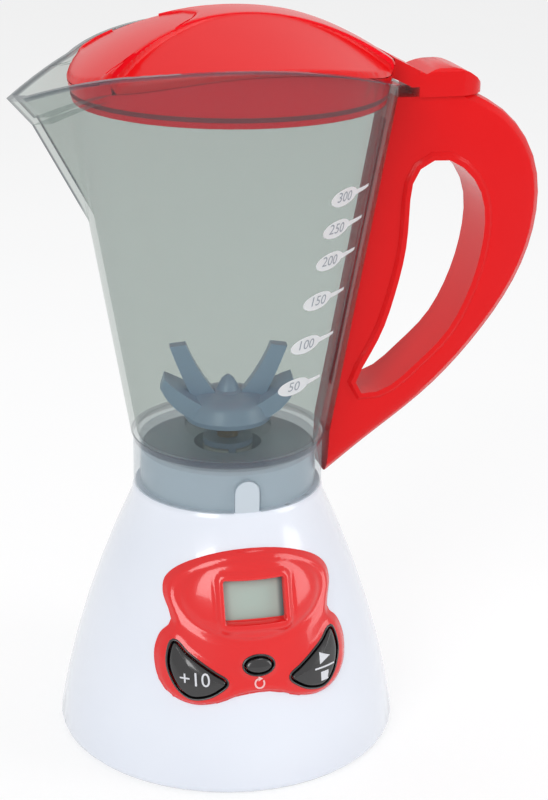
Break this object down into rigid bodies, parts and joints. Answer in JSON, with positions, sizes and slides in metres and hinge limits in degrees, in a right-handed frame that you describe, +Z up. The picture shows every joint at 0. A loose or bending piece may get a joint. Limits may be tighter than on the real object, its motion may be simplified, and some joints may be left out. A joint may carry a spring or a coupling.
{
  "type": "toy jug blender",
  "caption": "Toy blender: a bell base with gear drive and push buttons, a see-through pouring jug with an impeller, a loop handle and a lift-off lid.",
  "frame": {"origin": "centre of the base's foot rim, in the plane of the table", "axes": "+Z up, +X towards the handle, -X towards the pouring lip, -Y towards the control panel"},
  "size_m": [0.1552, 0.104, 0.2205],
  "materials": {
    "white_plastic": "glossy",
    "red_plastic": "glossy",
    "smoke_plastic": "glossy, see-through smoke tint",
    "slate_plastic": "satin",
    "black_plastic": "satin",
    "display_glass": "smooth",
    "connector_rubber": "matt",
    "board": "matt",
    "inner_plastic": "matt",
    "gear_plastic": "satin",
    "motor_metal": "smooth",
    "cell_jacket": "printed sleeve, left plain",
    "spring_steel": "bright",
    "screw_steel": "bright",
    "bush_brass": "smooth",
    "seal_rubber": "matt"
  },
  "bodies": {
    "base": {"base_housing": "white_plastic", "bottom_cover": "white_plastic", "battery_door": "white_plastic", "door_screw": "screw_steel", "cover_screws": "screw_steel", "batteries": "cell_jacket", "battery_contacts": "spring_steel", "control_panel": "red_plastic", "display_cell": "display_glass", "display_connector": "connector_rubber", "circuit_board": "board", "board_screws": "screw_steel", "button_domes": "connector_rubber", "gearbox_plate": "inner_plastic", "plate_screws": "screw_steel", "motor_can": "motor_metal", "motor_cap": "inner_plastic", "base_bush": "bush_brass"},
    "add_key": {"add_button": "black_plastic"},
    "start_key": {"start_button": "black_plastic"},
    "reset_key": {"reset_button": "black_plastic"},
    "drive": {"drive_shaft": "spring_steel", "drive_gear": "gear_plastic", "drive_dog": "gear_plastic"},
    "motor_rotor": {"motor_shaft": "spring_steel", "motor_pinion": "gear_plastic"},
    "jug_body": {"jug": "smoke_plastic", "jug_bush": "bush_brass", "handle_near_half": "red_plastic", "handle_far_half": "red_plastic", "handle_screws": "screw_steel"},
    "impeller_body": {"impeller": "slate_plastic", "impeller_shaft": "spring_steel", "driven_dog": "slate_plastic"},
    "lid_body": {"lid": "red_plastic", "lid_seal": "seal_rubber"}
  },
  "joints": [
    {"name": "add_press", "type": "slide", "parent": "base", "child": "add_key", "axis": [0, 0.9458, -0.3248], "range_m": [0, 0.0008], "stiffness_N_per_m": 600, "springref_m": -0.0008},
    {"name": "start_press", "type": "slide", "parent": "base", "child": "start_key", "axis": [0, 0.9458, -0.3248], "range_m": [0, 0.0008], "stiffness_N_per_m": 600, "springref_m": -0.0008},
    {"name": "reset_press", "type": "slide", "parent": "base", "child": "reset_key", "axis": [0, 0.9458, -0.3248], "range_m": [0, 0.0008], "stiffness_N_per_m": 600, "springref_m": -0.0008},
    {"name": "drive_spin", "type": "hinge", "parent": "base", "child": "drive", "pos_m": [0, 0, 0.07], "axis": [0, 0, 1], "continuous": true},
    {"name": "motor_spin", "type": "hinge", "parent": "base", "child": "motor_rotor", "pos_m": [0, 0.0168, 0.07], "axis": [0, 0, 1], "continuous": true},
    {"name": "jug_lift", "type": "slide", "parent": "base", "child": "jug_body", "axis": [0, 0, 1], "range_m": [0, 0.03]},
    {"name": "impeller_spin", "type": "hinge", "parent": "jug_body", "child": "impeller_body", "pos_m": [0, 0, 0.1], "axis": [0, 0, 1], "continuous": true},
    {"name": "lid_lift", "type": "slide", "parent": "jug_body", "child": "lid_body", "axis": [0, 0, 1], "range_m": [0, 0.04]}
  ],
  "couplings": [
    {"joint": "motor_spin", "follows": "drive_spin", "ratio": -3},
    {"joint": "impeller_spin", "follows": "drive_spin", "ratio": 1}
  ]
}
